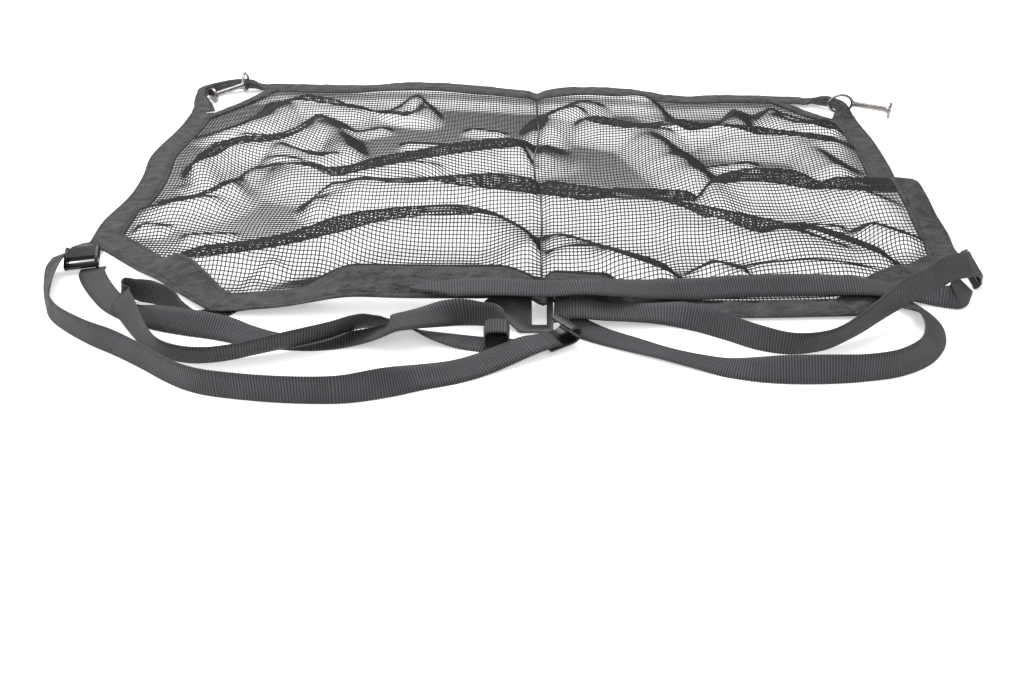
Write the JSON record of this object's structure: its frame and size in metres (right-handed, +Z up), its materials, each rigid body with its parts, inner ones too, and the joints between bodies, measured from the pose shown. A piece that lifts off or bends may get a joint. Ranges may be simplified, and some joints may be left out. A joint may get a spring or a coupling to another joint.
{
  "type": "cargo net",
  "caption": "Mesh cargo net lying open, with a bound border, webbing tie-down straps, hooks, ladder buckles and corner pins.",
  "frame": {"origin": "centre of the footprint, on the surface that the net lies on", "axes": "+X to the right along the front hem, +Y from the straps to the rear hem, +Z up"},
  "size_m": [0.9919, 0.8684, 0.0414],
  "materials": {
    "mesh_yarn": "matt knitted polyester mesh",
    "band_cloth": "satin woven band cloth",
    "strap_webbing": "ribbed polypropylene webbing",
    "black_moulding": "semi-gloss black",
    "dark_steel": "dark polished steel"
  },
  "bodies": {
    "root": {"net_mesh": "mesh_yarn", "band_front": "band_cloth", "band_front_left": "band_cloth", "band_front_right": "band_cloth", "band_left": "band_cloth", "band_right": "band_cloth", "band_back": "band_cloth", "corner_tape_left": "band_cloth", "corner_tape_right": "band_cloth", "corner_loop_left": "band_cloth", "corner_loop_right": "band_cloth", "buckle_tab_left": "band_cloth", "buckle_tab_right": "band_cloth", "strap_left_out": "strap_webbing", "strap_left_back": "strap_webbing", "strap_left_tail": "strap_webbing", "strap_right_out": "strap_webbing", "strap_right_back": "strap_webbing", "strap_right_tail": "strap_webbing", "strap_left_end_loop": "strap_webbing", "plate_hook": "black_moulding", "curled_hook": "black_moulding", "buckle_left": "black_moulding", "buckle_right": "black_moulding", "pin_left": "dark_steel", "pin_right": "dark_steel"}
  },
  "joints": []
}
